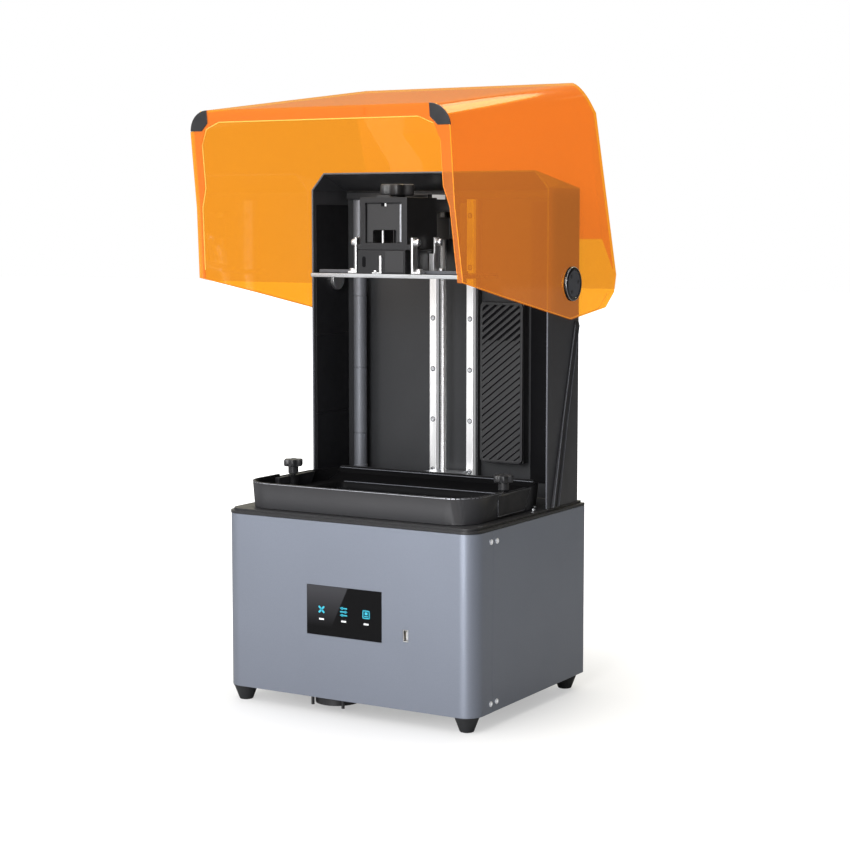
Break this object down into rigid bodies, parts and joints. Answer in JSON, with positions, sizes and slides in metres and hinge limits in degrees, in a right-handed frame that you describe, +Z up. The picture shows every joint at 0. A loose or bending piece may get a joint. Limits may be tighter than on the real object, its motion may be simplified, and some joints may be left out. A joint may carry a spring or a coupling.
{
  "type": "resin printer",
  "caption": "Desktop resin printer with a tilting transparent lid, a screw-driven build platform over a removable vat, and a box housing with a touch screen.",
  "frame": {"origin": "centre of the bounding box's bottom face, on the surface the feet stand on, with the lid open", "axes": "+Z up, front with the touch screen towards -Y, +X to the right as seen from the front"},
  "size_m": [0.3336, 0.407, 0.6975],
  "materials": {
    "housing_paint": "satin metallic",
    "dark_sheet": "fine matt powder coat",
    "deck_plastic": "fine matt",
    "rubber": "matt",
    "black_plastic": "satin",
    "gloss_black": "polished",
    "steel": "brushed",
    "aluminium": "satin anodised",
    "black_aluminium": "black anodised",
    "circuit_board": "solder mask",
    "lid_orange": "transparent amber plastic",
    "film": "clear release film"
  },
  "bodies": {
    "base": {"base_plate": "dark_sheet", "deck_plate": "deck_plastic", "exhaust_fan_frame": "black_plastic", "exposure_screen": "gloss_black", "foot_front_left": "rubber", "foot_front_right": "rubber", "foot_rear_left": "rubber", "foot_rear_right": "rubber", "front_wrap_panel": "housing_paint", "heat_sink": "aluminium", "hinge_pin_left": "steel", "hinge_pin_right": "steel", "intake_fan_frame": "black_plastic", "led_array": "circuit_board", "lid_catch": "deck_plastic", "light_housing": "black_plastic", "lower_bearing_block": "aluminium", "mainboard": "circuit_board", "pillar": "black_plastic", "power_inlet": "black_plastic", "power_supply": "aluminium", "purifier_body": "black_plastic", "purifier_grille": "black_plastic", "rail_left": "steel", "rail_right": "steel", "rear_wrap_panel": "housing_paint", "side_strip_left": "deck_plastic", "side_strip_right": "deck_plastic", "touch_screen": "gloss_black", "tower_beam": "dark_sheet", "tower_rear_panel": "dark_sheet", "tower_shell": "dark_sheet", "usb_port": "steel", "z_column": "dark_sheet", "z_motor": "steel"},
    "lid": {"lid_shell": "lid_orange", "lid_pad_left": "black_plastic", "lid_pad_right": "black_plastic", "hinge_cap_left": "gloss_black", "hinge_cap_right": "gloss_black"},
    "platform": {"z_carriage": "aluminium", "platform_arm": "aluminium", "head_frame": "black_aluminium", "mount_block": "black_aluminium", "build_plate": "aluminium", "bracket_front_left": "steel", "bracket_front_right": "steel", "bracket_rear_left": "steel", "bracket_rear_right": "steel"},
    "head_knob_body": {"head_knob": "black_plastic"},
    "screw": {"lead_screw": "steel", "screw_coupling": "aluminium"},
    "vat": {"vat_body": "black_aluminium", "film_frame": "steel", "release_film": "film"},
    "vat_knob_left_body": {"vat_knob_left": "black_plastic"},
    "vat_knob_right_body": {"vat_knob_right": "black_plastic"},
    "intake_rotor": {"intake_fan_rotor": "black_plastic"},
    "exhaust_rotor": {"exhaust_fan_rotor": "black_plastic"},
    "rocker": {"power_rocker": "black_plastic"}
  },
  "joints": [
    {"name": "lid_tilt", "type": "hinge", "parent": "base", "child": "lid", "pos_m": [0, 0.0709, 0.4708], "axis": [1, 0, 0], "range_deg": [0, 83.2]},
    {"name": "platform_lift", "type": "slide", "parent": "base", "child": "platform", "axis": [0, 0, 1], "range_m": [-0.254, 0]},
    {"name": "screw_turn", "type": "hinge", "parent": "base", "child": "screw", "pos_m": [0, 0.0636, 0.4], "axis": [0, 0, 1], "range_deg": [-11460, 60]},
    {"name": "head_knob_turn", "type": "hinge", "parent": "platform", "child": "head_knob_body", "pos_m": [0, -0.0374, 0.575], "axis": [0, 0, 1], "range_deg": [0, 1080]},
    {"name": "vat_lift", "type": "slide", "parent": "base", "child": "vat", "axis": [0, 0, 1], "range_m": [0, 0.045]},
    {"name": "vat_knob_left_turn", "type": "hinge", "parent": "vat", "child": "vat_knob_left_body", "pos_m": [-0.1392, -0.0436, 0.26], "axis": [0, 0, 1], "continuous": true},
    {"name": "vat_knob_right_turn", "type": "hinge", "parent": "vat", "child": "vat_knob_right_body", "pos_m": [0.1392, -0.0436, 0.26], "axis": [0, 0, 1], "continuous": true},
    {"name": "intake_fan_turn", "type": "hinge", "parent": "base", "child": "intake_rotor", "pos_m": [-0.032, -0.1144, 0.012], "axis": [0, 0, 1], "continuous": true},
    {"name": "exhaust_fan_turn", "type": "hinge", "parent": "base", "child": "exhaust_rotor", "pos_m": [0.095, 0.1036, 0.12], "axis": [0, 1, 0], "continuous": true},
    {"name": "power_rocker_tilt", "type": "hinge", "parent": "base", "child": "rocker", "pos_m": [-0.11, 0.1116, 0.096], "axis": [0, 0, 1], "range_deg": [-6, 6]}
  ],
  "couplings": [
    {"joint": "screw_turn", "follows": "platform_lift", "rad_per_m": 785.4}
  ]
}
